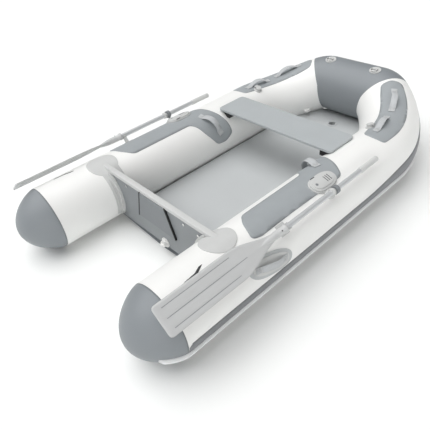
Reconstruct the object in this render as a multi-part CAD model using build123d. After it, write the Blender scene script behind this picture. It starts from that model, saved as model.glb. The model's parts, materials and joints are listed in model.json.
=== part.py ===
from build123d import *
import math
import os

os.makedirs("parts", exist_ok=True)

# Frame, in millimetres: +X to the bow, +Y to port, +Z up, origin at the middle of the
# bounding box's base. Fore-and-aft stations are measured forward of the stern seam.
SEAM_X = -1215.1

# Buoyancy tubes
TUBE_R = 205.0
SKIN = 1.2
TUBE_Y = 577.0
TUBE_Z = 205.0
STRAIGHT = 1826.0
BOW_STATION = 2420.0
BOW_Z = 334.0
BOW_FLAT_Y = 222.0
BOW_HANDLE_A = 348.0
BOW_HANDLE_B = 74.0
SHEER_START = 1940.0
SHEER_POWER = 2.34
BOW_HEADINGS = [0, 14, 28, 41, 54, 90]
PANEL_SEAM_RUN = 40.0
CONE_LENGTH = 202.0
CONE_POWER = 1.418
GLUE_GAP = 0.3
MITRE_ROOM = 120.0

# Rub strake
BAND_LOW_DEG = -33.0
BAND_HIGH_DEG = -3.0
BAND_THICK = 3.0
RIB_DEG = -18.0
RIB_HALF_DEG = 2.0
RIB_PROUD = 14.0

# Floor, bottom and keel
FLOOR_TOP = 100.0
FLOOR_THICK = 50.0
FLOOR_OUTLINE = [(464, 388), (1860, 388), (1960, 376), (2050, 340), (2130, 282),
                 (2190, 210), (2235, 120)]
FLOOR_HOLE_STATION = 2180.0
FLOOR_HOLE_R = 26.0
KEEL_HALF_WIDTH = 44.0
KEEL_HALF_HEIGHT = 17.0
KEEL_Z = 29.0

# Transom
BOARD_AFT = 424.0
BOARD_THICK = 25.0
BOARD_TOP = 400.0
BOARD_BOTTOM = 58.0
BOARD_HALF = 490.0
BOARD_TUBE_CLEAR = 7.0
OUTER_PAD_THICK = 12.0
INNER_PAD_THICK = 6.0
BOLT_SPOTS = [(276, 353), (393, 343)]
DRAIN_Y = -50.0
DRAIN_Z = 84.0

# Seat
SEAT_AFT = 1424.0
SEAT_FORE = 1677.0
SEAT_HALF = 500.0
SEAT_TOP = 412.0
SEAT_THICK = 16.0

# Oars, stowed along the tube
OAR_DEG = 51.0
OAR_REACH = 262.4
BLADE_TIP = -86.0
BLADE_WIDTH = 156.0
BLADE_THICK = 8.0
BLADE_SHOULDER = 450.0
BLADE_NECK = 620.0
SOCKET_END = 709.0
SOCKET_R = 20.0
SHAFT_R = 15.0
GRIP_START = 1365.0
GRIP_END = 1535.0
GRIP_R = 17.5
LOCK_STATION = 1128.0
LOCK_RING_R = 25.0
LOCK_HOLE_R = 19.0
PIN_R = 7.0
PIN_CLEAR = 0.05

# Valves, handles and patches
VALVE_STATION = 1860.0
VALVE_DEG = 111.0
PATCH_THICK = 2.0
TOW_PAD_Y = 195.0


def seam(station, y=0.0, z=0.0):
    """A point given by its station forward of the stern seam."""
    return Vector(SEAM_X + station, y, z)


def unit(degrees):
    """Cosine and sine of an angle in degrees."""
    return math.cos(math.radians(degrees)), math.sin(math.radians(degrees))


def bow_curve(t):
    """Plan position and heading on the bow's centreline curve."""
    px = [STRAIGHT, STRAIGHT + BOW_HANDLE_A, BOW_STATION, BOW_STATION]
    py = [TUBE_Y, TUBE_Y, BOW_FLAT_Y + BOW_HANDLE_B, BOW_FLAT_Y]
    s = 1 - t
    place = [s**3 * p[0] + 3 * s * s * t * p[1] + 3 * s * t * t * p[2] + t**3 * p[3]
             for p in (px, py)]
    slope = [s * s * (p[1] - p[0]) + 2 * s * t * (p[2] - p[1]) + t * t * (p[3] - p[2])
             for p in (px, py)]
    return place, math.degrees(math.atan2(-slope[1], slope[0]))


def sheer(station):
    """Height of the tube's axis, which lifts towards the bow."""
    rise = min(max((station - SHEER_START) / (BOW_STATION - SHEER_START), 0), 1)
    return TUBE_Z + (BOW_Z - TUBE_Z) * rise**SHEER_POWER


def tangent_line(heading):
    """The bow curve's tangent at a heading, as a point and a direction."""
    low, high = 0.0, 1.0
    for _ in range(50):
        middle = (low + high) / 2
        if bow_curve(middle)[1] < heading:
            low = middle
        else:
            high = middle
    place = bow_curve(middle)[0]
    c, s = unit(heading)
    return place, (c, -s)


def bow_corners():
    """Corners of the straight runs that follow the bow curve, port side."""
    corners = []
    for heading, next_heading in zip(BOW_HEADINGS, BOW_HEADINGS[1:]):
        (ax, ay), (ux, uy) = tangent_line(heading)
        (bx, by), (vx, vy) = tangent_line(next_heading)
        run = ((bx - ax) * vy - (by - ay) * vx) / (ux * vy - uy * vx)
        station = ax + run * ux
        corners.append(seam(station, ay + run * uy, sheer(station)))
    return corners


START = seam(0, TUBE_Y, TUBE_Z)
CORNERS = bow_corners()
BOW_MIDDLE = seam(BOW_STATION, 0, BOW_Z)
PANEL_SEAM = CORNERS[3] + (CORNERS[4] - CORNERS[3]).normalized() * PANEL_SEAM_RUN
AXIS = [START] + CORNERS + [BOW_MIDDLE]


def section_plane(point, ahead):
    """Cross-section plane of the port tube: x outboard, y up, z along the tube."""
    along = (ahead - point).normalized()
    out = Vector(0, 0, 1).cross(along).normalized()
    return Plane(origin=point, x_dir=out, z_dir=along)


def axis_plane(station):
    """Cross-section plane where the port tube's axis reaches a station."""
    x = SEAM_X + station
    for back, ahead in zip(AXIS, AXIS[1:]):
        if ahead.X >= x:
            break
    share = (x - back.X) / (ahead.X - back.X)
    return section_plane(back + (ahead - back) * share, ahead)


def axis_run(first, last):
    """Points of the tube's axis between two stations."""
    inner = [p for p in AXIS if SEAM_X + first + 1 < p.X < SEAM_X + last - 1]
    return [axis_plane(first).origin] + inner + [axis_plane(last).origin]


def surface_plane(station, degrees, radius, twist=0.0):
    """Plane on the tube's skin: z outwards, x forward along the tube."""
    base = axis_plane(station)
    c, s = unit(degrees)
    out = base.x_dir * c + base.y_dir * s
    plane = Plane(origin=base.origin + out * radius, x_dir=base.z_dir, z_dir=out)
    return plane.rotated((0, 0, twist))


def band_face(low, high, inner, outer):
    """Part of a ring between two angles, 0 outboard and 90 on top."""
    def spot(degrees, radius):
        c, s = unit(degrees)
        return (radius * c, radius * s)

    middle = (low + high) / 2
    edges = [
        ThreePointArc(spot(low, outer), spot(middle, outer), spot(high, outer)),
        Line(spot(high, outer), spot(high, inner)),
        ThreePointArc(spot(high, inner), spot(middle, inner), spot(low, inner)),
        Line(spot(low, inner), spot(low, outer)),
    ]
    return make_face(edges)


def run_sweep(face, points):
    """Carry a section along straight runs, mitred where they meet."""
    ways = [(b - a).normalized() for a, b in zip(points, points[1:])]
    across = section_plane(points[0], points[1]).x_dir
    pieces = []
    for i, way in enumerate(ways):
        if i:
            turn = ways[i - 1].cross(way)
            angle = math.degrees(math.asin(min(turn.length, 1)))
            across = across.rotate(Axis((0, 0, 0), turn), angle)
        before = MITRE_ROOM if i else 0
        after = MITRE_ROOM if i < len(ways) - 1 else 0
        length = (points[i + 1] - points[i]).length
        section = Plane(origin=points[i] - way * before, x_dir=across, z_dir=way) * face
        piece = extrude(section, before + length + after, dir=way)
        if before:
            cut = Plane(origin=points[i], z_dir=(ways[i - 1] + way).normalized())
            piece = split(piece, bisect_by=cut, keep=Keep.TOP)
        if after:
            cut = Plane(origin=points[i + 1], z_dir=(ways[i + 1] + way).normalized())
            piece = split(piece, bisect_by=cut, keep=Keep.BOTTOM)
        pieces.append(piece)
    whole = pieces[0]
    for piece in pieces[1:]:
        whole = whole + piece
    return whole


def hollow_run(points, radius, wall):
    """A thin-walled tube along straight runs."""
    return run_sweep(Circle(radius) - Circle(radius - wall), points)


def band(first, last, low, high, thick, inner=TUBE_R + GLUE_GAP):
    """A patch wrapped on the tube between two stations and two angles."""
    return run_sweep(band_face(low, high, inner, inner + thick), axis_run(first, last))


def lofted_band(points, profile):
    """A strip that keeps its angle to level ground along a rising, mitred tube."""
    ways = [(b - a).normalized() for a, b in zip(points, points[1:])]
    faces = []
    for i, point in enumerate(points):
        back = ways[max(i - 1, 0)]
        mean = (back + ways[min(i, len(ways) - 1)]).normalized()
        out = Vector(0, 0, 1).cross(mean).normalized()
        rise = mean.cross(out)
        lean = back - mean * back.dot(mean)
        ring = []
        for degrees, radius in profile:
            c, s = unit(degrees)
            spot = out * (radius * c) + rise * (radius * s)
            if lean.length > 1e-6:
                lean_way = lean.normalized()
                spot += lean_way * (spot.dot(lean_way) * (1 / back.dot(mean) - 1))
            ring.append(point + spot)
        faces.append(make_face(Polyline(*ring, close=True)))
    return loft(faces, ruled=True)


def arc_profile(low, high, inner, outer, step=4.0):
    """Outline of a strip's section as angle and radius pairs."""
    count = max(round((high - low) / step), 1)
    angles = [low + (high - low) * i / count for i in range(count + 1)]
    return [(a, inner) for a in angles], [(a, outer) for a in reversed(angles)]


def tube_core(station, radius, length=600):
    """A solid cylinder on the tube's axis, to shape what is glued on it."""
    return axis_plane(station) * Cylinder(radius, length)


def strap(station_a, deg_a, station_b, deg_b, rise, width, foot=30.0, thick=4.0, lift=4.7):
    """A webbing handle: a foot flat on the skin at each end and an arch between."""
    a = surface_plane(station_a, deg_a, TUBE_R + lift)
    b = surface_plane(station_b, deg_b, TUBE_R + lift)
    out = (a.z_dir + b.z_dir).normalized()
    span = b.origin - a.origin
    side = span.cross(out).normalized()
    plane = Plane(origin=a.origin, x_dir=span, z_dir=side)
    bulge = span.length / 2 * math.tan(math.radians(a.z_dir.get_angle(b.z_dir)) / 4)
    under, over = [], []
    for end, way in ((a, 1), (b, -1)):
        flat = way * (span - end.z_dir * span.dot(end.z_dir)).normalized()
        shoulder = end.origin + flat * (foot + 16) + end.z_dir * rise
        low = [end.origin, end.origin + flat * foot, shoulder]
        high = [end.origin + end.z_dir * thick, end.origin + flat * (foot - 4) + end.z_dir * thick,
                shoulder + end.z_dir * thick - flat * 3]
        under.append(low[::way])
        over.append(high[::way])
    middle = (a.origin + b.origin) * 0.5 + out * (rise + bulge)
    points = under[0] + [middle] + under[1]
    points += (over[0] + [middle + out * thick] + over[1])[::-1]
    flat_points = [plane.to_local_coords(p) for p in points]
    outline = Polyline(*[(p.X, p.Y) for p in flat_points], close=True)
    return extrude(plane * make_face(outline), width / 2, both=True)


nodes = {}


def both_sides(name, port_shape):
    """Keep a port piece and its mirror image."""
    nodes["port_" + name] = port_shape
    nodes["starboard_" + name] = mirror(port_shape, Plane.XZ)


# Tube skins, with a hole for each valve
valve_plane = surface_plane(VALVE_STATION, VALVE_DEG, 0)
port_tube = hollow_run([START] + CORNERS[:4] + [PANEL_SEAM], TUBE_R, SKIN)
port_tube -= valve_plane * Pos(0, 0, TUBE_R) * Cylinder(20.3, 40)
both_sides("tube_skin", port_tube)

starboard_seam = Vector(PANEL_SEAM.X, -PANEL_SEAM.Y, PANEL_SEAM.Z)
starboard_corners = [Vector(p.X, -p.Y, p.Z) for p in reversed(CORNERS[4:])]
panel_run = [PANEL_SEAM] + CORNERS[4:] + starboard_corners + [starboard_seam]
nodes["bow_panel_skin"] = hollow_run(panel_run, TUBE_R, SKIN)

# Bulkheads between the air chambers, just inside the bow panel's seams
bulkhead = section_plane(PANEL_SEAM, CORNERS[3]) * Pos(0, 0, 8) * Cylinder(TUBE_R - SKIN - GLUE_GAP, 1.6)
both_sides("bow_bulkhead", bulkhead)


# Stern cones
def cone_profile(radius, length):
    """Points from the seam to the tip of a stern cone."""
    steps = [i / 12 for i in range(12)] + [0.96, 0.985, 1.0]
    return [(-length * t, radius * math.sqrt(max(1 - t**CONE_POWER, 0))) for t in steps]


outer = cone_profile(TUBE_R, CONE_LENGTH)
inner = cone_profile(TUBE_R - SKIN, CONE_LENGTH - SKIN)
cone_edges = [
    Spline(*outer),
    Line(outer[-1], inner[-1]),
    Spline(*reversed(inner)),
    Line(inner[0], outer[0]),
]
cone = revolve(make_face(cone_edges), Axis.X, 360)
both_sides("stern_cone", Pos(SEAM_X, TUBE_Y, TUBE_Z) * cone)

# Rub strake: a flat band with a raised rib, from the stern seam to the stem
band_in = TUBE_R + 2 * GLUE_GAP
band_out = band_in + BAND_THICK
inner_arc, outer_arc = arc_profile(BAND_LOW_DEG, BAND_HIGH_DEG, band_in, band_out)
rib_arc = [(RIB_DEG + RIB_HALF_DEG, band_out), (RIB_DEG + RIB_HALF_DEG * 0.8, band_in + RIB_PROUD),
           (RIB_DEG - RIB_HALF_DEG * 0.8, band_in + RIB_PROUD), (RIB_DEG - RIB_HALF_DEG, band_out)]
above = [row for row in outer_arc if row[0] > RIB_DEG + RIB_HALF_DEG]
below = [row for row in outer_arc if row[0] < RIB_DEG - RIB_HALF_DEG]
strake = lofted_band(AXIS, inner_arc + above + rib_arc + below)
both_sides("rub_strake", strake)


# Bottom fabric: a shallow vee under the floor, rising to the stem
def bottom_section(station, half, edge_z, keel_z, thick=1.4):
    """A vee-shaped strip across the bottom."""
    spots = [(half, edge_z), (0, keel_z), (-half, edge_z), (-half, edge_z + thick),
             (0, keel_z + thick), (half, edge_z + thick)]
    points = [seam(station, y, z) for y, z in spots]
    return make_face(Polyline(*points, close=True))


bottom_stations = [(430, 449, 42, 6), (1880, 445, 42, 6), (2130, 345, 44, 10),
                   (2270, 235, 62, 30), (2385, 140, 120, 108)]
bottom_faces = [bottom_section(*row) for row in bottom_stations]
nodes["hull_bottom"] = loft(bottom_faces, ruled=True)

# Inflatable keel under the floor, ending in blunt points
keel_plane = Plane(origin=seam(0, 0, KEEL_Z), x_dir=(0, 1, 0), z_dir=(1, 0, 0))


def keel_body(inset):
    """The keel's outside, or its air space when inset by the skin."""
    ends = [(470 + inset, 0.5), (530, 1), (1960, 1), (2060 - inset, 0.4)]
    faces = [
        keel_plane.offset(at) * Ellipse(KEEL_HALF_WIDTH * k - inset, KEEL_HALF_HEIGHT * k - inset)
        for at, k in ends
    ]
    runs = [loft([a, b], ruled=True) for a, b in zip(faces, faces[1:])]
    return runs[0] + runs[1] + runs[2]


nodes["inflatable_keel"] = keel_body(0) - keel_body(SKIN)

# Air floor with a port over the keel's valve
floor_side = FLOOR_OUTLINE + [(x, -y) for x, y in reversed(FLOOR_OUTLINE)]


def floor_body(inset):
    """The floor's outside, or its air space when inset by the skin."""
    outline = make_face(Polyline(*floor_side, close=True))
    if inset:
        outline = offset(outline, -inset, kind=Kind.INTERSECTION)
    plane = Plane(origin=(SEAM_X, 0, FLOOR_TOP - FLOOR_THICK + inset), z_dir=(0, 0, 1))
    body = extrude(plane * outline, FLOOR_THICK - 2 * inset)
    body = fillet(body.edges().filter_by(Axis.Z), 22)
    body = fillet(body.faces().sort_by(Axis.Z)[-1].edges(), 12)
    hole = Pos(SEAM_X + FLOOR_HOLE_STATION, 0, FLOOR_TOP)
    return body - hole * Cylinder(FLOOR_HOLE_R + inset, 3 * FLOOR_THICK)


nodes["air_floor"] = floor_body(0) - floor_body(SKIN)

# Floor's inflation valve, a small block on the tube by the bow
valve_block = Box(44, 24, 20, align=(Align.CENTER, Align.CENTER, Align.MIN))
valve_block = fillet(valve_block.edges().filter_by(Axis.Z), 5)
block_plane = surface_plane(2275, 207, TUBE_R + 3.0)
nodes["floor_valve"] = block_plane * (valve_block + Pos(0, 0, 20) * Cylinder(9, 10))

# Transom board, cut to the tubes
tube_gap = TUBE_R + BOARD_TUBE_CLEAR
board = Pos(SEAM_X + BOARD_AFT + BOARD_THICK / 2, 0, (BOARD_TOP + BOARD_BOTTOM) / 2) * Box(
    BOARD_THICK, 2 * BOARD_HALF, BOARD_TOP - BOARD_BOTTOM
)
for side in (1, -1):
    board -= Pos(SEAM_X + BOARD_AFT, side * TUBE_Y, TUBE_Z) * Rot(0, 90, 0) * Cylinder(tube_gap, 200)
drain_axis = Pos(SEAM_X + BOARD_AFT, DRAIN_Y, DRAIN_Z) * Rot(0, 90, 0)
board -= drain_axis * Cylinder(22.3, 100)
bolt_places = [
    Pos(SEAM_X + BOARD_AFT, side * y, z) * Rot(0, 90, 0) for y, z in BOLT_SPOTS for side in (1, -1)
]
for place in bolt_places:
    board -= place * Cylinder(4.3, 100)
nodes["transom_board"] = board

# Bolts with a washer head on each face
bolts = None
for place in bolt_places:
    up = (Align.CENTER, Align.CENTER, Align.MIN)
    bolt = place * Pos(0, 0, -4) * Cylinder(4, BOARD_THICK + 8, align=up)
    bolt += place * Pos(0, 0, -5) * Cylinder(8, 5, align=up)
    bolt += place * Pos(0, 0, BOARD_THICK) * Cylinder(8, 5, align=up)
    bolts = bolt if bolts is None else bolts + bolt
nodes["transom_bolts"] = bolts

# Edge trim along the board's top
trim_mid = SEAM_X + BOARD_AFT + BOARD_THICK / 2
trim = Pos(trim_mid, 0, BOARD_TOP - 6) * Box(BOARD_THICK + 6.6, 2 * BOARD_HALF - 90, 18)
trim -= Pos(trim_mid, 0, BOARD_TOP - 29.7) * Box(BOARD_THICK + 0.6, 2 * BOARD_HALF, 60)
nodes["transom_edge_trim"] = trim

# Motor pads on the outer and inner faces
pad_plane = Plane(origin=seam(BOARD_AFT, 0, 0), x_dir=(0, 1, 0), z_dir=(1, 0, 0))
outer_outline = [(-120, 383), (120, 383), (178, 188), (-178, 188)]
outer_pad = extrude(pad_plane * make_face(Polyline(*outer_outline, close=True)), -OUTER_PAD_THICK)
nodes["outer_motor_pad"] = outer_pad
inner_pad = Pos(SEAM_X + BOARD_AFT + BOARD_THICK + INNER_PAD_THICK / 2, 0, 322) * Box(
    INNER_PAD_THICK, 300, 122
)
nodes["inner_motor_pad"] = inner_pad

# Transom holders: a round patch on the tube and a channel for the board's end
holder = band(300, 560, 62, 212, 4.0)
round_cut = surface_plane(426, 100, TUBE_R) * Cylinder(102, 60)
holder_top = holder & round_cut
channel = band(BOARD_AFT - 12, BOARD_AFT + BOARD_THICK + 12, 96, 212, 14.0)
holder = holder_top + channel + band(BOARD_AFT - 40, BOARD_AFT + BOARD_THICK + 40, 96, 212, 4.0)
slot = Pos(SEAM_X + BOARD_AFT + BOARD_THICK / 2, TUBE_Y, TUBE_Z) * Rot(0, 90, 0) * (
    Cylinder(TUBE_R + 60, BOARD_THICK + 0.6) - Cylinder(tube_gap - 0.4, BOARD_THICK + 0.6)
)
both_sides("transom_holder", holder - slot)

# Drain fitting through the board, and its plug
up = (Align.CENTER, Align.CENTER, Align.MIN)
drain = drain_axis * Pos(0, 0, -20) * Cylinder(22, BOARD_THICK + 28, align=up)
drain += drain_axis * Pos(0, 0, -6) * Cylinder(34, 6, align=up)
drain += drain_axis * Pos(0, 0, BOARD_THICK) * Cylinder(30, 8, align=up)
drain -= drain_axis * Cylinder(16, 200)
nodes["drain_socket"] = drain
plug = drain_axis * Pos(0, 0, -20) * Cylinder(15.7, 30, align=up)
plug += drain_axis * Pos(0, 0, -27) * Cylinder(21, 7, align=up)
plug += drain_axis * Pos(0, 0, -39) * Box(5, 26, 12, align=up)
nodes["drain_plug"] = plug

# Bench seat and the wedges it rests on
seat_mid = (SEAT_AFT + SEAT_FORE) / 2
seat = Pos(SEAM_X + seat_mid, 0, SEAT_TOP - SEAT_THICK / 2) * Box(
    SEAT_FORE - SEAT_AFT, 2 * SEAT_HALF, SEAT_THICK
)
seat = fillet(seat.edges().filter_by(Axis.Z), 30)
seat = fillet(seat.edges().filter_by(GeomType.LINE).group_by(Axis.Z)[-1], 4)
nodes["bench_seat"] = seat
wedges = None
for at in (SEAT_AFT + 46, SEAT_FORE - 46):
    wedge = Pos(SEAM_X + at, 449, 372) * Box(56, 84, 46.8)
    wedge -= Pos(SEAM_X + at, TUBE_Y, TUBE_Z) * Rot(0, 90, 0) * Cylinder(TUBE_R + GLUE_GAP, 200)
    wedges = wedge if wedges is None else wedges + wedge
both_sides("seat_bracket", wedges)

# Wear patches on the tube tops
side_patch = band(560, 1345, 62, 108, PATCH_THICK)
side_patch += band(1205, 1418, 92, 176, PATCH_THICK)
both_sides("side_patch", side_patch)
inner_arc, outer_arc = arc_profile(63, 114, TUBE_R + 2 * GLUE_GAP, TUBE_R + PATCH_THICK)
bow_patch = lofted_band(axis_run(1742, 2375), inner_arc + outer_arc)
bow_patch -= valve_plane * Pos(0, 0, TUBE_R) * Cylinder(33, 40)
both_sides("bow_patch", bow_patch)

# Webbing handles
both_sides("side_handle", strap(1262, 104, 1330, 160, 34, 34, lift=5.4))
both_sides("bow_handle_aft", strap(1800, 92, 2042, 96, 26, 30))
both_sides("bow_handle_fore", strap(2112, 92, 2330, 88, 26, 30))

# Lifting handles low on the outboard side, near the stern
lift_pad = surface_plane(571, 22, 190, -14) * Cylinder(150, 60)
lift_pad &= surface_plane(571, 22, 205, -14) * scale(Cylinder(1, 80), by=(140, 62, 1))
lift_pad &= band(400, 745, -10, 55, 4.0)
both_sides("lift_handle", lift_pad + strap(481, 23, 661, 21, 30, 30, 22, lift=3.6))

# Bow tow pads, each with a ring hinged in a lug
tow_c, tow_s = unit(100)
tow_out = Vector(tow_c, 0, tow_s)
tow_base = Plane(origin=seam(BOW_STATION, TOW_PAD_Y, BOW_Z), x_dir=(0, 1, 0), z_dir=tow_out)
tow_core = Pos(SEAM_X + BOW_STATION, TOW_PAD_Y, BOW_Z) * Rot(90, 0, 0) * Cylinder(TUBE_R + GLUE_GAP, 200)
tow_pad = tow_base * Pos(0, 0, 200) * Cylinder(42, 9.5, align=up) - tow_core
tow_pad += tow_base * Pos(0, 0, 208) * Box(18, 12, 14, align=up)
tow_pad -= tow_base * Pos(0, 0, 216) * Rot(0, 90, 0) * Cylinder(3.9, 60)
both_sides("tow_pad", tow_pad)
ring_run = Polyline((-22, 0), (22, 0), (22, 16), (12, 30), (-12, 30), (-22, 16), close=True)
ring_face = Plane(origin=(0, 0, 0), x_dir=(0, 1, 0), z_dir=(1, 0, 0)) * Circle(3.5)
tow_ring = sweep(ring_face, path=ring_run, transition=Transition.RIGHT)
both_sides("tow_ring", tow_base * Pos(0, 0, 216) * tow_ring)

# Inflation valves and their hinged caps
valve_body = valve_plane * Pos(0, 0, 188) * Cylinder(20, 34, align=up)
flange = valve_plane * Pos(0, 0, 200) * Cylinder(32, 10, align=up)
valve_body += flange - tube_core(VALVE_STATION, TUBE_R + GLUE_GAP)
valve_body += valve_plane * Pos(0, 28, 208) * Box(14, 6.4, 14, align=up)
valve_body -= valve_plane * Pos(0, 28, 219) * Rot(0, 90, 0) * Cylinder(2.25, 60)
both_sides("valve_body", valve_body)
cap = valve_plane * Pos(0, 0, 222.3) * Cylinder(22.5, 7, align=up)
cap += valve_plane * Pos(0, 25, 225.8) * Box(32, 12, 4)
for x in (-10.5, 10.5):
    cap += valve_plane * Pos(x, 28.5, 221) * Box(5, 6, 9.6)
cap += valve_plane * Pos(0, 28, 219) * Rot(0, 90, 0) * Cylinder(2.2, 26)
both_sides("valve_cap", cap)

# Oarlocks: a moulded base, and a ring on a pin that turns in it
oar_plane = surface_plane(LOCK_STATION, OAR_DEG, OAR_REACH)
lock_base = band(1030, 1262, 33, 84, 10.0, TUBE_R + PATCH_THICK + 2 * GLUE_GAP)
boss = surface_plane(LOCK_STATION, OAR_DEG, 212) * Cylinder(26, 23, align=up)
lock_base += boss
for at in (1186, 1208, 1230):
    lock_base -= surface_plane(at, 68, 220) * Box(9, 70, 16)
pin_hole = surface_plane(LOCK_STATION, OAR_DEG, 219) * Cylinder(PIN_R + PIN_CLEAR, 40, align=up)
both_sides("oarlock_base", lock_base - pin_hole)
lock_ring = surface_plane(LOCK_STATION, OAR_DEG, 220) * Cylinder(PIN_R, 26, align=up)
lock_ring += surface_plane(LOCK_STATION, OAR_DEG, 235.3) * Cylinder(12, 5, align=up)
lock_ring += oar_plane * Rot(0, 90, 0) * Cylinder(LOCK_RING_R, 26)
lock_ring -= oar_plane * Rot(0, 90, 0) * Cylinder(LOCK_HOLE_R, 60)
both_sides("oarlock_ring", lock_ring)


# Oars, built along x from the ring's centre and laid in place
def along_oar(station):
    """Distance along the oar from the ring's centre."""
    return station - LOCK_STATION


def rod(first, last, radius):
    """A round length of the oar between two stations."""
    length = last - first
    return Pos(along_oar(first), 0, 0) * Rot(0, 90, 0) * Cylinder(radius, length, align=up)


half = BLADE_WIDTH / 2
blade_outline = [(BLADE_TIP, -half), (BLADE_SHOULDER, -half), (BLADE_NECK, -17), (BLADE_NECK + 20, -17),
                 (BLADE_NECK + 20, 17), (BLADE_NECK, 17), (BLADE_SHOULDER, half), (BLADE_TIP, half)]
blade_points = [(along_oar(x), y) for x, y in blade_outline]
blade = extrude(make_face(Polyline(*blade_points, close=True)), BLADE_THICK / 2, both=True)
blade = fillet(blade.edges().filter_by(Axis.Z).group_by(Axis.X)[0], 22)
for y in (-39, 0, 39):
    blade -= Pos(along_oar(190), y, BLADE_THICK / 2) * Box(480, 9, 3)
    blade -= Pos(along_oar(190), y, -BLADE_THICK / 2) * Box(480, 9, 3)
blade += rod(BLADE_NECK - 20, SOCKET_END, SOCKET_R) + rod(SOCKET_END - 14, SOCKET_END, 24)
blade -= rod(BLADE_NECK + 10, SOCKET_END + 5, SHAFT_R + 0.3)
button_spot = Pos(along_oar(668), 0, 0)
blade -= button_spot * Cylinder(4.3, 40, align=up)
both_sides("oar_blade", oar_plane * blade)
shaft = rod(BLADE_NECK + 12, GRIP_START + 100, SHAFT_R) - rod(BLADE_NECK, GRIP_END, SHAFT_R - 2)
shaft -= button_spot * Cylinder(4.3, 40, align=up)
both_sides("oar_shaft", oar_plane * shaft)
button = button_spot * Pos(0, 0, 7.5) * Cylinder(4, 15.5, align=up)
button += button_spot * Pos(0, 0, 7.5) * Cylinder(6, 3, align=up)
both_sides("oar_button", oar_plane * button)
grip = rod(GRIP_START, GRIP_END, GRIP_R) - rod(GRIP_START - 5, GRIP_START + 105, SHAFT_R + 0.3)
grip = fillet(grip.edges().sort_by(Axis.X)[-1], 7)
both_sides("oar_grip", oar_plane * grip)

# Oar rests: a cradle open upwards and outboard, just ahead of the blade's socket
rest = surface_plane(728, OAR_DEG, 0)
cradle = band(698, 758, OAR_DEG - 9, OAR_DEG + 9, 3.0)
cradle += rest * Pos(0, 0, 208) * Box(20, 22, 36, align=up)
cradle += rest * Pos(0, 0, OAR_REACH) * Rot(0, 90, 0) * Cylinder(20, 20)
cradle -= rest * Pos(0, 0, OAR_REACH) * Rot(0, 90, 0) * Cylinder(SHAFT_R + 0.5, 60)
cradle -= rest * Pos(0, -20, OAR_REACH + 20) * Box(60, 40 + 2 * SHAFT_R, 40 + 0.01)
both_sides("oar_rest", cradle)

for name, shape in nodes.items():
    solids = shape.solids()
    print(name, len(solids), "solids", round(sum(s.volume for s in solids) / 1000, 1), "cm3")
    export_step(shape, "parts/" + name + ".step")

box = Compound(children=[s for shape in nodes.values() for s in shape.solids()]).bounding_box()
print("box", box.min, box.max, "nodes", len(nodes))
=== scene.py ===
import json
import math

import bmesh
import bpy
import numpy as np
from mathutils import Matrix, Vector
from mathutils.geometry import delaunay_2d_cdt


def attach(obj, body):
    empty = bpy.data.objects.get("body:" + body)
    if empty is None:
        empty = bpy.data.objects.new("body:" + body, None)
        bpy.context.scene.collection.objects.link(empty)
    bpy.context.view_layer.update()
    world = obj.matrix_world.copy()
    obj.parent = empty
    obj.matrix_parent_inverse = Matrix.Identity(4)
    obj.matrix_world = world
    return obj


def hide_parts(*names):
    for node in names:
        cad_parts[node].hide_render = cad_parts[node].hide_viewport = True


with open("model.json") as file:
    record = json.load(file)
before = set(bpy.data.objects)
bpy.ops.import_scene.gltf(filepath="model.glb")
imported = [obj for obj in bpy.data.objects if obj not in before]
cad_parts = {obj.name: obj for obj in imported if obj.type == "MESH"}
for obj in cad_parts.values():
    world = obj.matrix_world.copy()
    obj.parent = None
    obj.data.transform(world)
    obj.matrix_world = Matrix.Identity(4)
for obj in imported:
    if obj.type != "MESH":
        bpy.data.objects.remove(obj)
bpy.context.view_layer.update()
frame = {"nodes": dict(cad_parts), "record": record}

# ---------------------------------------------------------------- dimensions, metres
# A station is a distance forward of the stern seam. An angle on a tube is in degrees, 0 outboard and
# 90 on top.
SEAM_X = -1.2151
R = 0.205
TUBE_Y = 0.577
TUBE_Z = 0.205
STRAIGHT = 1.826
BOW = 2.420
BOW_Z = 0.334
BOW_FLAT_Y = 0.222
BOW_PULL_X = 0.348
BOW_PULL_Y = 0.074
SHEER_START = 1.940
SHEER_POWER = 2.34
PANEL_STATION = 2.394
CONE = 0.202
CONE_POWER = 1.418
LOCK_STATION = 1.128
OAR_DEG = 51.0
OAR_REACH = 0.2624
SIDES = ("port", "starboard")


def clamp(value, low=0.0, high=1.0):
    return min(max(value, low), high)


def ease(t):
    """Rises from 0 to 1 with level ends."""
    t = clamp(t)
    return t * t * (3 - 2 * t)


def full_turn(count):
    return [2 * math.pi * k / count for k in range(count)]


# ---------------------------------------------------------------- the tube's axis
BOW_STEPS = 60
FLAT_STEPS = 8
AXIS_POINTS = 721
SMOOTHING_PASSES = 8


def bow_point(t):
    px = (STRAIGHT, STRAIGHT + BOW_PULL_X, BOW, BOW)
    py = (TUBE_Y, TUBE_Y, BOW_FLAT_Y + BOW_PULL_Y, BOW_FLAT_Y)
    s = 1 - t
    w = (s**3, 3 * s * s * t, 3 * s * t * t, t**3)
    return sum(a * b for a, b in zip(w, px)), sum(a * b for a, b in zip(w, py))


def sheer(station):
    rise = clamp((station - SHEER_START) / (BOW - SHEER_START))
    return TUBE_Z + (BOW_Z - TUBE_Z) * rise**SHEER_POWER


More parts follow.
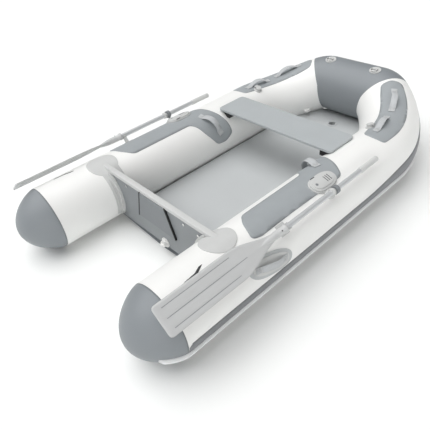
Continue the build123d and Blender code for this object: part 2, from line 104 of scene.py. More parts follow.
def axis_points():
    """The port tube's axis from the stern, round the bow and down the starboard tube, evenly spaced."""
    half = [(STRAIGHT * i / BOW_STEPS, TUBE_Y) for i in range(BOW_STEPS)]
    half += [bow_point(i / BOW_STEPS) for i in range(BOW_STEPS + 1)]
    half += [(BOW, BOW_FLAT_Y * (1 - i / FLAT_STEPS)) for i in range(1, FLAT_STEPS)]
    half = [(x, y, sheer(x)) for x, y in half]
    port = np.array(half)
    middle = np.array([[BOW, 0.0, BOW_Z]])
    pts = np.concatenate([port, middle, (port * [1, -1, 1])[::-1]])
    run = np.concatenate([[0], np.cumsum(np.linalg.norm(np.diff(pts, axis=0), axis=1))])
    even = np.linspace(0, run[-1], AXIS_POINTS)
    pts = np.stack([np.interp(even, run, pts[:, k]) for k in range(3)], 1)
    for _ in range(SMOOTHING_PASSES):
        pts[1:-1] = (pts[:-2] + 2 * pts[1:-1] + pts[2:]) / 4
    return even, pts


RUN, AXIS = axis_points()
LENGTH = RUN[-1]
WAY = np.gradient(AXIS, axis=0)
WAY /= np.linalg.norm(WAY, axis=1)[:, None]
OUT = np.cross([0, 0, 1.0], WAY)
OUT /= np.linalg.norm(OUT, axis=1)[:, None]
UP = np.cross(WAY, OUT)
HALF = len(RUN) // 2


def run_at(side, station):
    """Distance along the axis of a station on one side."""
    s = float(np.interp(station, AXIS[: HALF + 1, 0], RUN[: HALF + 1]))
    if station < 0:
        s = station
    return s if side == "port" else LENGTH - s


def cone_radius(beyond):
    """The cone's radius beyond the stern seam, as a part of the tube's."""
    t = clamp(beyond / CONE)
    return math.sqrt(max(1 - t**CONE_POWER, 0))


def on_tube(s, degrees, radius):
    """A point by distance along the tube, angle (0 outboard, 90 on top) and radius."""
    beyond = -s if s < 0 else s - LENGTH if s > LENGTH else 0
    clamped = clamp(s, 0, LENGTH)
    base, way, out, up = (
        np.array([np.interp(clamped, RUN, a[:, k]) for k in range(3)]) for a in (AXIS, WAY, OUT, UP)
    )
    a = math.radians(degrees)
    normal = out * math.cos(a) + up * math.sin(a)
    if beyond > 0:
        back = -way if s < 0 else way
        t = min(beyond / CONE, 1)
        lean = CONE_POWER * t ** (CONE_POWER - 1) / (2 * max(cone_radius(beyond), 0.05)) * R / CONE
        normal_out = normal + back * lean
        normal_out /= np.linalg.norm(normal_out)
        place = base + back * beyond + normal * R * cone_radius(beyond) + normal_out * (radius - R)
        return place + [SEAM_X, 0, 0], normal_out
    return base + normal * radius + [SEAM_X, 0, 0], normal


# ---------------------------------------------------------------- mesh helpers
def add_mesh(name, verts, faces, material, body="hull", smooth=True, covers=()):
    mesh = bpy.data.meshes.new(name)
    mesh.from_pydata([tuple(v) for v in verts], [], faces)
    mesh.update()
    obj = bpy.data.objects.new(name, mesh)
    bpy.context.scene.collection.objects.link(obj)
    bm = bmesh.new()
    bm.from_mesh(mesh)
    bmesh.ops.remove_doubles(bm, verts=bm.verts, dist=1e-5)
    bmesh.ops.recalc_face_normals(bm, faces=bm.faces)
    bm.to_mesh(mesh)
    bm.free()
    if smooth:
        mesh.shade_smooth()
    mesh.materials.append(material)
    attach(obj, body)
    if covers:
        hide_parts(*covers)
    return obj


def modifier(obj, kind, **values):
    mod = obj.modifiers.new(kind.title(), kind)
    for key, value in values.items():
        setattr(mod, key, value)


def bevelled(obj, width, segments=3, angle=40):
    modifier(obj, "BEVEL", width=width, segments=segments, limit_method="ANGLE",
             angle_limit=math.radians(angle))
    modifier(obj, "WEIGHTED_NORMAL", keep_sharp=True)


def grid_mesh(name, rows, material, closed=False, caps=False, **rest):
    """Quads over rows of points; closed joins each row end to start."""
    count = len(rows[0])
    verts = [p for row in rows for p in row]
    faces = []
    wrap = count if closed else count - 1
    for i in range(len(rows) - 1):
        for j in range(wrap):
            k = (j + 1) % count
            faces.append((i * count + j, i * count + k, (i + 1) * count + k, (i + 1) * count + j))
    if caps:
        faces.append(tuple(range(count)))
        faces.append(tuple(range((len(rows) - 1) * count, len(rows) * count)))
    return add_mesh(name, verts, faces, material, **rest)


def rounded(points, radius, steps=5):
    """A closed outline with its corners rounded. The radius may be a list, one for each corner."""
    result = []
    n = len(points)
    for i in range(n):
        p = Vector(points[i])
        a, b = Vector(points[i - 1]), Vector(points[(i + 1) % n])
        r = radius[i] if isinstance(radius, (list, tuple)) else radius
        u, v = (a - p), (b - p)
        cut = min(r, u.length * 0.45, v.length * 0.45)
        start, end = p + u.normalized() * cut, p + v.normalized() * cut
        for k in range(steps + 1):
            t = k / steps
            result.append(start * (1 - t) ** 2 + p * 2 * t * (1 - t) + end * t * t)
    return [tuple(q) for q in result]


def dense(points, step):
    """A closed outline with points added along its edges, no further apart than about step."""
    result = []
    for a, b in zip(points, points[1:] + points[:1]):
        n = max(int(math.dist(a, b) / step), 1)
        result += [(a[0] + (b[0] - a[0]) * k / n, a[1] + (b[1] - a[1]) * k / n) for k in range(n)]
    return result


def inside(x, y, outline):
    odd = False
    for (ax, ay), (bx, by) in zip(outline, outline[1:] + outline[:1]):
        if (ay > y) != (by > y) and x < (bx - ax) * (y - ay) / (by - ay) + ax:
            odd = not odd
    return odd


def plate_points(outline, step, holes=()):
    """Triangles that fill an outline, with inner points on a grid."""
    outline = dense(outline, step)
    loops = [outline] + [dense(h, step) for h in holes]
    verts, edges = [], []
    for loop in loops:
        first = len(verts)
        verts += loop
        edges += [(first + i, first + (i + 1) % len(loop)) for i in range(len(loop))]
    rim = np.array(verts)
    low, high = rim.min(0), rim.max(0)
    for x in np.arange(low[0] + step / 2, high[0], step):
        for y in np.arange(low[1] + step / 2, high[1], step):
            near = np.min(np.hypot(rim[:, 0] - x, rim[:, 1] - y))
            if near > step * 0.55 and inside(x, y, outline):
                if not any(inside(x, y, loop) for loop in loops[1:]):
                    verts.append((x, y))
    out = delaunay_2d_cdt([Vector(v) for v in verts], edges, [], 0, 1e-6)
    points, tris = out[0], out[2]
    keep = []
    for tri in tris:
        cx = sum(points[i][0] for i in tri) / 3
        cy = sum(points[i][1] for i in tri) / 3
        if inside(cx, cy, outline) and not any(inside(cx, cy, loop) for loop in loops[1:]):
            keep.append(tuple(tri))
    return [tuple(p) for p in points], keep


def plate_mesh(name, outline, top, bottom, material, step=0.02, holes=(), **rest):
    """A closed plate between two surfaces given as functions of plan position."""
    points, tris = plate_points(outline, step, holes)
    n = len(points)
    verts = [top(*p) for p in points] + [bottom(*p) for p in points]
    faces = list(tris) + [tuple(n + i for i in reversed(t)) for t in tris]
    edges = {edge: None for tri in tris for edge in zip(tri, tri[1:] + tri[:1])}
    faces += [(b, a, a + n, b + n) for a, b in edges if (b, a) not in edges]
    return add_mesh(name, verts, faces, material, **rest)


def patch(name, side, outline, thick, material, lift=0.0, step=0.016, round_by=0.02, drop=0.001,
          by_run=False, **rest):
    """A piece wrapped on the tube; its outline is in stations, or distances along it, and degrees."""
    flat = [(st, R * math.radians(deg)) for st, deg in outline]
    flat = rounded(flat, round_by) if round_by else flat

    def skin(radius):
        def at(u, v):
            s = (u if side == "port" else LENGTH - u) if by_run else run_at(side, u)
            return on_tube(s, math.degrees(v / R), radius)[0]
        return at

    low = R + lift - drop
    return plate_mesh(name, flat, skin(R + lift + thick), skin(low), material, step=step, **rest)


def revolve_mesh(name, profile, place, material, turns=40, caps=True, **rest):
    """Radius and height pairs turned about place's z axis."""
    rows = [[place @ Vector((r * math.cos(a), r * math.sin(a), z)) for a in full_turn(turns)]
            for r, z in profile]
    return grid_mesh(name, rows, material, closed=True, caps=caps, **rest)


def surface_place(side, station, degrees, radius):
    """Matrix on the tube: z outwards, x forward along the tube."""
    s = run_at(side, station)
    place, normal = on_tube(s, degrees, radius)
    ahead, _ = on_tube(s + (0.01 if side == "port" else -0.01), degrees, radius)
    x = Vector(ahead - place).normalized()
    z = Vector(normal).normalized()
    y = z.cross(x).normalized()
    x = y.cross(z)
    m = Matrix((x, y, z)).transposed().to_4x4()
    m.translation = Vector(place)
    return m


def strip(name, centres, width, normals, thick, material, crown=0.0, **rest):
    """A flat webbing strip along points, lying across its normals."""
    rows = []
    n = len(centres)
    half, edge = width / 2, thick * 0.35
    ring = [(-half, edge), (-half + edge, 0), (half - edge, 0), (half, edge), (half, thick - edge),
            (half - edge, thick), (0, thick + crown), (-half + edge, thick), (-half, thick - edge)]
    for i, (c, z) in enumerate(zip(centres, normals)):
        a, b = centres[max(i - 1, 0)], centres[min(i + 1, n - 1)]
        along = Vector(np.array(b) - np.array(a)).normalized()
        z = Vector(z)
        z = (z - along * z.dot(along)).normalized()
        across = z.cross(along).normalized()
        rows.append([Vector(c) + across * u + z * v for u, v in ring])
    return grid_mesh(name, rows, material, closed=True, caps=True, **rest)


# ---------------------------------------------------------------- materials
def new_material(name, color, rough, metallic=0.0, coat=0.0, specular=0.5, sheen=0.0):
    mat = bpy.data.materials.new(name)
    mat.use_nodes = True
    nodes, links = mat.node_tree.nodes, mat.node_tree.links
    shader = nodes["Principled BSDF"]
    shader.inputs["Base Color"].default_value = (*color, 1)
    shader.inputs["Roughness"].default_value = rough
    shader.inputs["Metallic"].default_value = metallic
    shader.inputs["Coat Weight"].default_value = coat
    shader.inputs["Coat Roughness"].default_value = 0.25
    shader.inputs["Specular IOR Level"].default_value = specular
    shader.inputs["Sheen Weight"].default_value = sheen
    return mat, nodes, links, shader


def mottled(name, color, rough, spread=0.04, scale=6.0, weave=900.0, bump=0.05, grime=0.0, **extra):
    """Coated fabric or moulding: soft mottling, a fine weave, and a little grime."""
    mat, nodes, links, shader = new_material(name, color, rough, **extra)
    coords = nodes.new("ShaderNodeTexCoord")
    cloud = nodes.new("ShaderNodeTexNoise")
    cloud.inputs["Scale"].default_value = scale
    cloud.inputs["Detail"].default_value = 5
    links.new(coords.outputs["Object"], cloud.inputs["Vector"])
    ramp = nodes.new("ShaderNodeValToRGB")
    ramp.color_ramp.elements[0].position = 0.3
    ramp.color_ramp.elements[1].position = 0.7
    ramp.color_ramp.elements[0].color = (*[c * (1 - spread) for c in color], 1)
    ramp.color_ramp.elements[1].color = (*[min(c * (1 + spread * 0.5), 1) for c in color], 1)
    links.new(cloud.outputs["Fac"], ramp.inputs["Fac"])
    tint = ramp.outputs["Color"]
    if grime:
        dirt = nodes.new("ShaderNodeTexNoise")
        dirt.inputs["Scale"].default_value = scale * 4
        dirt.inputs["Detail"].default_value = 8
        dirt.inputs["Roughness"].default_value = 0.7
        links.new(coords.outputs["Object"], dirt.inputs["Vector"])
        cut = nodes.new("ShaderNodeMapRange")
        cut.inputs["From Min"].default_value = 0.55
        cut.inputs["From Max"].default_value = 0.8
        cut.inputs["To Max"].default_value = grime
        links.new(dirt.outputs["Fac"], cut.inputs["Value"])
        mix = nodes.new("ShaderNodeMix")
        mix.data_type = "RGBA"
        links.new(cut.outputs["Result"], mix.inputs["Factor"])
        links.new(tint, mix.inputs["A"])
        mix.inputs["B"].default_value = (*[c * 0.72 for c in color], 1)
        tint = mix.outputs["Result"]
    links.new(tint, shader.inputs["Base Color"])
    rough_map = nodes.new("ShaderNodeMapRange")
    rough_map.inputs["To Min"].default_value = max(rough - 0.06, 0.05)
    rough_map.inputs["To Max"].default_value = min(rough + 0.08, 1)
    links.new(cloud.outputs["Fac"], rough_map.inputs["Value"])
    links.new(rough_map.outputs["Result"], shader.inputs["Roughness"])
    if weave:
        thread_x = nodes.new("ShaderNodeTexWave")
        thread_x.bands_direction = "X"
        thread_z = nodes.new("ShaderNodeTexWave")
        thread_z.bands_direction = "DIAGONAL"
        for node in (thread_x, thread_z):
            node.inputs["Scale"].default_value = weave / 10
            node.inputs["Distortion"].default_value = 0.4
            links.new(coords.outputs["Object"], node.inputs["Vector"])
        both = nodes.new("ShaderNodeMath")
        both.operation = "ADD"
        links.new(thread_x.outputs["Fac"], both.inputs[0])
        links.new(thread_z.outputs["Fac"], both.inputs[1])
        relief = nodes.new("ShaderNodeBump")
        relief.inputs["Strength"].default_value = bump
        relief.inputs["Distance"].default_value = 0.0006
        links.new(both.outputs["Value"], relief.inputs["Height"])
        links.new(relief.outputs["Normal"], shader.inputs["Normal"])
    return mat


def webbing_material(name, color):
    mat, nodes, links, shader = new_material(name, color, 0.75, sheen=0.25)
    coords = nodes.new("ShaderNodeTexCoord")
    wave = nodes.new("ShaderNodeTexWave")
    wave.bands_direction = "DIAGONAL"
    wave.inputs["Scale"].default_value = 120
    wave.inputs["Distortion"].default_value = 1.5
    links.new(coords.outputs["Object"], wave.inputs["Vector"])
    ramp = nodes.new("ShaderNodeValToRGB")
    ramp.color_ramp.elements[0].color = (*[c * 0.78 for c in color], 1)
    ramp.color_ramp.elements[1].color = (*color, 1)
    links.new(wave.outputs["Fac"], ramp.inputs["Fac"])
    links.new(ramp.outputs["Color"], shader.inputs["Base Color"])
    relief = nodes.new("ShaderNodeBump")
    relief.inputs["Strength"].default_value = 0.4
    relief.inputs["Distance"].default_value = 0.0008
    links.new(wave.outputs["Fac"], relief.inputs["Height"])
    links.new(relief.outputs["Normal"], shader.inputs["Normal"])
    return mat


def metal_material(name, color, rough, stretch=(4, 300, 300), shine=1.0):
    mat, nodes, links, shader = new_material(name, color, rough, metallic=shine)
    coords = nodes.new("ShaderNodeTexCoord")
    mapping = nodes.new("ShaderNodeMapping")
    mapping.inputs["Scale"].default_value = stretch
    noise = nodes.new("ShaderNodeTexNoise")
    noise.inputs["Scale"].default_value = 3
    noise.inputs["Detail"].default_value = 6
    links.new(coords.outputs["Object"], mapping.inputs["Vector"])
    links.new(mapping.outputs["Vector"], noise.inputs["Vector"])
    spread = nodes.new("ShaderNodeMapRange")
    spread.inputs["To Min"].default_value = rough * 0.7
    spread.inputs["To Max"].default_value = rough * 1.4
    links.new(noise.outputs["Fac"], spread.inputs["Value"])
    links.new(spread.outputs["Result"], shader.inputs["Roughness"])
    relief = nodes.new("ShaderNodeBump")
    relief.inputs["Strength"].default_value = 0.08
    relief.inputs["Distance"].default_value = 0.0005
    links.new(noise.outputs["Fac"], relief.inputs["Height"])
    links.new(relief.outputs["Normal"], shader.inputs["Normal"])
    return mat


def srgb(r, g, b):
    """Linear colour from 0-255 display values."""
    return tuple(c / 255 / 12.92 if c <= 10 else ((c / 255 + 0.055) / 1.055) ** 2.4 for c in (r, g, b))


WHITE = mottled("white_pvc", srgb(246, 246, 244), 0.42, spread=0.015, scale=4, weave=1400, bump=0.04,
                coat=0.08)
GREY = mottled("grey_pvc", srgb(136, 141, 145), 0.45, spread=0.03, scale=4, weave=1400, bump=0.05)
PATCH = mottled("patch_pvc", srgb(160, 165, 168), 0.62, spread=0.03, scale=14, weave=1100, bump=0.12,
                grime=0.25)
FLOOR = mottled("floor_pvc", srgb(190, 193, 194), 0.6, spread=0.025, scale=5, weave=700, bump=0.15,
                grime=0.18)
BAND = mottled("strake_band", srgb(126, 128, 131), 0.5, spread=0.03, scale=8, weave=0, coat=0.05)
# the rib's own light grey, raised towards white as painted light so that it reads bright in the shade under
# the tube
RIB = mottled("strake_rib", srgb(236, 237, 238), 0.42, spread=0.02, scale=10, weave=0)
SOFT_GREY = mottled("grey_vinyl", srgb(190, 193, 194), 0.5, spread=0.02, scale=20, weave=0)
MOULD = mottled("light_vinyl", srgb(205, 206, 205), 0.5, spread=0.02, scale=20, weave=0)
SEAT = mottled("seat_paint", srgb(179, 184, 186), 0.45, spread=0.025, scale=9, weave=500, bump=0.08,
               grime=0.15)
BOARD = mottled("painted_ply", srgb(140, 144, 147), 0.5, spread=0.05, scale=12, weave=260, bump=0.1,
                grime=0.2)
PAD = mottled("pad_plastic", srgb(133, 137, 140), 0.6, spread=0.05, scale=30, weave=900, bump=0.25,
              grime=0.2)
BLADE = mottled("oar_plastic", srgb(199, 200, 200), 0.38, spread=0.02, scale=10, weave=0, coat=0.1)
WHITE_PLASTIC = mottled("white_plastic", srgb(236, 236, 234), 0.3, spread=0.02, scale=20, weave=0)
BLACK = mottled("black_rubber", srgb(38, 38, 39), 0.65, spread=0.1, scale=30, weave=900, bump=0.2)
# dark grey for the printed pinstripe, and painted shade in the oarlock slots
DARK = mottled("dark_print_and_slot_shade", srgb(62, 63, 66), 0.5, spread=0.05, scale=30, weave=0)
WEB = webbing_material("webbing", srgb(201, 204, 206))
ALUMINIUM = metal_material("brushed_aluminium", srgb(208, 210, 212), 0.34, shine=0.35)
STEEL = metal_material("polished_steel", srgb(215, 215, 214), 0.2, (60, 60, 60))

MATERIALS = {
    "white_tube_fabric": WHITE, "grey_tube_fabric": GREY, "patch_fabric": PATCH, "floor_fabric": FLOOR,
    "strake_rubber": BAND, "light_moulding": MOULD, "webbing": WEB, "marine_ply": BOARD,
    "light_plastic": BLADE, "white_plastic": WHITE_PLASTIC, "black_rubber": BLACK, "pad_plastic": PAD,
    "bright_aluminium": ALUMINIUM, "stainless": STEEL,
}
SLOT_OF = {material.name: name for name, material in MATERIALS.items()}
SLOT_OF.update({RIB.name: "light_moulding", SOFT_GREY.name: "light_moulding", SEAT.name: "marine_ply",
                DARK.name: "black_rubber"})
for part in frame["record"]["subparts"]:
    for material_slot in frame["nodes"][part["node"]].material_slots:
        material_slot.material = MATERIALS[part["material_slot"]]
for side in SIDES:
    for tag in ("oar_rest", "tow_pad", "valve_cap", "valve_body", "oarlock_ring"):
        for material_slot in frame["nodes"][f"{side}_{tag}"].material_slots:
            material_slot.material = PAD if tag == "oarlock_ring" else MOULD

# ---------------------------------------------------------------- tubes, cones, bow panel
AROUND = 96
CONE_ROWS = 32
CONE_TIP = 0.9995
BULKHEAD_BACK = 0.06
TAPE_WIDTH = 0.022
TAPE_PROUD = 0.0009
PANEL_PROUD = 0.0006
seam_run = {side: run_at(side, PANEL_STATION) for side in SIDES}


def tube_rows(first, last, step, radius):
    count = max(int(abs(last - first) / step), 2)
    rows = []
    for i in range(count + 1):
        s = first + (last - first) * i / count
        rows.append([on_tube(s, 360 * k / AROUND, radius)[0] for k in range(AROUND)])
    return rows


for side in SIDES:
    end = 0 if side == "port" else LENGTH
    grid_mesh(side + "_tube", tube_rows(end, seam_run[side], 0.02, R), WHITE, closed=True,
              covers=(side + "_tube_skin",))
    sign = -1 if side == "port" else 1
    rows = []
    for i in range(CONE_ROWS + 1):
        t = math.sin(math.pi / 2 * i / CONE_ROWS) * CONE_TIP
        rows.append([on_tube(end + sign * CONE * t, 360 * k / AROUND, R)[0] for k in range(AROUND)])
    grid_mesh(side + "_cone", rows, GREY, closed=True, caps=True, covers=(side + "_stern_cone",))
    s = seam_run[side] + sign * BULKHEAD_BACK
    disc = [[on_tube(s, math.degrees(a), r)[0] for a in full_turn(48)] for r in (0.003, 0.1, R - 0.004)]
    bulkhead = grid_mesh(side + "_bulkhead_disc", disc, WHITE, closed=True,
                         covers=(side + "_bow_bulkhead",))
    modifier(bulkhead, "SOLIDIFY", thickness=0.0015)
    # the white tape over the seam between tube and cone
    tape = tube_rows(end, end - sign * TAPE_WIDTH, TAPE_WIDTH / 2, R + TAPE_PROUD)
    grid_mesh(side + "_cone_tape", tape, WHITE, closed=True)

panel = tube_rows(seam_run["port"], seam_run["starboard"], 0.012, R + PANEL_PROUD)
grid_mesh("bow_panel", panel, GREY, closed=True, covers=("bow_panel_skin",))


# ---------------------------------------------------------------- rub strake
STRAKE_STEPS = 150
WIDEN_FROM = 1.4
WIDEN_OVER = 0.8


def strake_strip(name, side, low, high, proud, material, aft, widen=0.0, covers=()):
    """A crowned band between two angles, from aft of the stern seam to the middle of the bow."""
    end = 0 if side == "port" else LENGTH
    sign = -1 if side == "port" else 1
    first = end + sign * aft
    last = LENGTH / 2
    middle = (low + high) / 2
    section = []
    for k in range(9):
        u = k / 8
        section.append((low + (high - low) * u, R + 0.0004 + proud * (1 - abs(2 * u - 1) ** 4) ** 0.5))
    section = [(low, R - 0.001)] + section + [(high, R - 0.001)]
    rows = []
    for i in range(STRAKE_STEPS + 1):
        s = first + (last - first) * i / STRAKE_STEPS
        beyond = abs(s - end) if (s - end) * sign > 0 else 0
        k = cone_radius(beyond) if beyond else 1
        fade = min(1, 0.25 + 0.75 * (abs(s - first) / 0.02))
        spread = 1 + widen * ease((min(s, LENGTH - s) - WIDEN_FROM) / WIDEN_OVER)
        row = []
        for degrees, radius in section:
            grown = low + (degrees - low) * spread
            wide = middle + (grown - middle) / max(k, 0.35)
            row.append(on_tube(s, wide, R + (radius - R) * fade)[0])
        rows.append(row)
    grid_mesh(name, rows, material, closed=True, caps=True, covers=covers)


for side in SIDES:
    strake_strip(side + "_strake_band", side, low=-42, high=-2, proud=0.003, material=BAND, aft=0.0,
                 widen=0.50, covers=(side + "_rub_strake",))
    strake_strip(side + "_strake_rib", side, low=-25.0, high=-19.5, proud=0.0172, material=RIB, aft=0.125)

# ---------------------------------------------------------------- wear patches
WEAR_THICK = 0.0016
# the side patch's outline is in stations and degrees, the bow patch's in distances along the tube
side_outline = [(0.548, 66), (0.60, 61), (0.86, 62), (1.10, 61), (1.29, 62), (1.335, 84), (1.365, 104),
                (1.395, 122), (1.425, 145), (1.435, 168), (1.36, 179), (1.275, 177), (1.20, 146),
                (1.165, 124), (1.13, 114), (0.645, 114), (0.585, 94)]
side_round = [0.03, 0.02, 0.05, 0.05, 0.03, 0.03, 0.03, 0.03, 0.03, 0.03, 0.02, 0.03, 0.03, 0.03, 0.04,
              0.03, 0.03]
bow_outline = [(1.742, 62), (1.90, 61), (2.10, 62), (2.30, 64), (2.46, 68), (2.49, 90), (2.47, 112),
               (2.36, 115), (2.20, 114), (2.05, 113), (1.93, 112), (1.83, 110), (1.735, 104), (1.722, 84)]
for side in SIDES:
    flat = [(st, R * math.radians(deg)) for st, deg in side_outline]
    back = [(u, math.degrees(v / R)) for u, v in rounded(flat, side_round)]
    patch(side + "_side_wear_patch", side, back, WEAR_THICK, PATCH, round_by=0,
          covers=(side + "_side_patch",))
    patch(side + "_bow_wear_patch", side, bow_outline, WEAR_THICK, PATCH, round_by=0.03, by_run=True,
          covers=(side + "_bow_patch",))


# ---------------------------------------------------------------- webbing handles
WEBBING_THICK = 0.0032
WEBBING_STEPS = 40
STITCH_LONG = 0.020
STITCH_HALF = 0.0007
STITCH_PROUD = 0.0008


def stitch_box(name, centre, normal, towards, width):
    """A sewn square with both its diagonals, as low bars on a strap's end."""
    along = Vector(towards - centre).normalized()
    z = Vector(normal)
    across = z.cross(along).normalized()
    m = Matrix((along, across, z)).transposed().to_4x4()
    m.translation = Vector(centre) + z * (WEBBING_THICK - 0.0001)
    w, length = width * 0.40, STITCH_LONG
    verts, faces = [], []
    for p, q in (((0, -w), (length, -w)), ((length, -w), (length, w)), ((length, w), (0, w)),
                 ((0, w), (0, -w)), ((0, -w), (length, w)), ((0, w), (length, -w))):
        p, q = Vector((*p, 0)), Vector((*q, 0))
        sideways = (q - p).cross(Vector((0, 0, 1))).normalized() * STITCH_HALF
        bar = (p - sideways, p + sideways, q + sideways, q - sideways)
        o = len(verts)
        verts += [m @ (v + Vector((0, 0, h))) for h in (0, STITCH_PROUD) for v in bar]
        faces += [(o, o + 1, o + 2, o + 3), (o + 4, o + 5, o + 6, o + 7)]
        faces += [(o + i, o + (i + 1) % 4, o + 4 + (i + 1) % 4, o + 4 + i) for i in range(4)]
    add_mesh(name, verts, faces, MOULD, smooth=False)


def webbing_handle(name, side, a, b, rise, width, node, foot=0.16, base=0.0026):
    """A strap arched between two places, each a station and degrees, and sewn down at its feet."""
    sa, sb = run_at(side, a[0]), run_at(side, b[0])
    centres, normals = [], []
    for i in range(WEBBING_STEPS + 1):
        u = i / WEBBING_STEPS
        s = sa + (sb - sa) * u
        deg = a[1] + (b[1] - a[1]) * u
        arch = clamp((min(u, 1 - u) - foot) / (0.5 - foot))
        lift = rise * math.sin(arch * math.pi / 2) ** 0.8
        place, normal = on_tube(s, deg, R + base + lift)
        centres.append(place)
        normals.append(normal)
    strip(name, centres, width, normals, WEBBING_THICK, WEB, crown=0.0008, covers=(node,))
    stitch_box(name + "_stitch_a", centres[2], normals[2], centres[7], width)
    stitch_box(name + "_stitch_b", centres[-3], normals[-3], centres[-8], width)


for side in SIDES:
    webbing_handle(side + "_side_strap", side, (1.258, 103), (1.331, 160), rise=0.036, width=0.046,
                   node=side + "_side_handle")
    webbing_handle(side + "_bow_strap_aft", side, (1.800, 92), (2.042, 96), rise=0.030, width=0.042,
                   node=side + "_bow_handle_aft")
    webbing_handle(side + "_bow_strap_fore", side, (2.112, 92), (2.330, 88), rise=0.030, width=0.042,
                   node=side + "_bow_handle_fore")


# ---------------------------------------------------------------- lifting handle, transom holder
def ellipse_patch(centre, long, tall, tilt):
    """A squarish ellipse on the tube, by its half lengths and its tilt in degrees."""
    st, deg = centre
    c, s = math.cos(math.radians(tilt)), math.sin(math.radians(tilt))
    result = []
    for a in full_turn(40):
        u = long * math.copysign(abs(math.cos(a)) ** 0.75, math.cos(a))
        v = tall * math.copysign(abs(math.sin(a)) ** 0.9, math.sin(a))
        result.append((st + u * c - v * s, deg + math.degrees((u * s + v * c) / R)))
    return result


LIFT_PLACE = (0.571, 21)
LIFT_TILT = -14
LIFT_THICK = 0.0045
HOLDER_STATION = 0.426
HOLDER_DEG = 100
HOLDER_R = 0.101
LIP_TALL = 0.017
LIPS = (("aft", 0.408, 0.4236), ("fore", 0.4494, 0.465))
RIDGES = (("a", 0.388), ("b", 0.486))
RIDGE_HALF = 0.003


def box_outline(aft, fore, low, high):
    """Four corners on the tube, by station and degrees."""
    return [(aft, low), (fore, low), (fore, high), (aft, high)]


for side in SIDES:
    pad = patch(side + "_lift_pad", side, ellipse_patch(LIFT_PLACE, 0.150, 0.060, LIFT_TILT), LIFT_THICK,
                SOFT_GREY, round_by=0, step=0.012)
    bevelled(pad, 0.002, 2)
    rim = patch(side + "_lift_pad_rim", side, ellipse_patch(LIFT_PLACE, 0.125, 0.044, LIFT_TILT),
                LIFT_THICK, MOULD, lift=0.0040, round_by=0, step=0.012)
    bevelled(rim, 0.002, 2)
    webbing_handle(side + "_lift_grip", side, (0.463, 27), (0.679, 15), rise=0.026, width=0.034,
                   node=side + "_lift_handle", foot=0.12, base=0.0085)
    disc = [(HOLDER_STATION + HOLDER_R * math.cos(a), HOLDER_DEG + math.degrees(HOLDER_R * math.sin(a) / R))
            for a in full_turn(48)]
    plate = patch(side + "_holder_plate", side, disc, 0.004, MOULD, round_by=0, step=0.014,
                  covers=(side + "_transom_holder",))
    bevelled(plate, 0.0015, 2)
    for tag, aft, fore in LIPS:
        lip = patch(side + "_holder_lip_" + tag, side, box_outline(aft, fore, 124, 212), LIP_TALL, MOULD,
                    round_by=0.006, step=0.008)
        bevelled(lip, 0.003, 2)
    flange = patch(side + "_holder_flange", side, box_outline(0.372, 0.502, 110, 212), 0.0034, MOULD,
                   round_by=0.01, step=0.014)
    bevelled(flange, 0.0015, 2)
    for tag, st in RIDGES:
        patch(side + "_holder_ridge_" + tag, side, box_outline(st - RIDGE_HALF, st + RIDGE_HALF, 134, 208),
              0.0022, MOULD, lift=0.0032, round_by=0.002, step=0.006)

# ---------------------------------------------------------------- floor, seat
FLOOR_TOP = 0.1
FLOOR_FOOT = 0.05
FLOOR_RISE = 0.034
FOOT_RISE = 0.066
PORT_X = SEAM_X + 2.18
PORT_R = 0.026
floor_side = [(0.464, 0.388), (1.86, 0.389), (1.99, 0.389), (2.10, 0.370), (2.20, 0.334), (2.295, 0.270),
              (2.362, 0.165)]
floor_outline = [(SEAM_X + x, y) for x, y in floor_side]
floor_outline += [(x, -y) for x, y in reversed(floor_outline)]
floor_round = [0.03] + [0.05] * 12 + [0.03]
hole = [(PORT_X + PORT_R * math.cos(a), PORT_R * math.sin(a)) for a in full_turn(32)]


def floor_top(x, y):
    return x, y, FLOOR_TOP + FLOOR_RISE * ease((x - SEAM_X - 1.85) / 0.5)


def floor_foot(x, y):
    return x, y, FLOOR_FOOT + FOOT_RISE * clamp((x - SEAM_X - 2.1) / 0.25)


floor = plate_mesh("drop_stitch_floor", rounded(floor_outline, floor_round), floor_top, floor_foot, FLOOR,
                   step=0.03, holes=[hole], covers=("air_floor",))
bevelled(floor, 0.008, 4, 60)
ring_place = Matrix.Translation(floor_top(PORT_X, 0))
revolve_mesh("floor_port_ring", [(0.044, -0.003), (0.044, 0.0012), (0.042, 0.0022), (0.029, 0.0022),
                                 (0.0275, 0.0012)], ring_place, SOFT_GREY, caps=False)
# the hole's black wall and the dark grey well under it are painted shade inside the floor port
revolve_mesh("floor_port_shade_wall", [(0.0275, 0.0012), (0.0262, -0.004), (0.0262, -0.045)], ring_place, BLACK,
             caps=False)
well_place = Matrix.Translation((PORT_X, 0, 0.058))
revolve_mesh("floor_port_shade_well", [(0.0262, 0.001), (0.001, 0.001)], well_place, PAD, caps=False)
valve_place = Matrix.Translation((PORT_X, 0, 0.052))
revolve_mesh("keel_valve_cap", [(0.022, -0.02), (0.022, 0.008), (0.019, 0.011), (0.001, 0.011)],
             valve_place, BLACK)

SEAT_AFT = SEAM_X + 1.424
SEAT_FORE = SEAM_X + 1.677
SEAT_HALF = 0.5
SEAT_TOP = 0.412
SEAT_THICK = 0.016
seat_outline = [(SEAT_AFT, SEAT_HALF), (SEAT_FORE, SEAT_HALF), (SEAT_FORE, -SEAT_HALF),
                (SEAT_AFT, -SEAT_HALF)]
seat = plate_mesh("bench", rounded(seat_outline, 0.03), lambda x, y: (x, y, SEAT_TOP),
                  lambda x, y: (x, y, SEAT_TOP - SEAT_THICK), SEAT, step=0.05, body="seat",
                  covers=("bench_seat",))
bevelled(seat, 0.004, 3, 60)


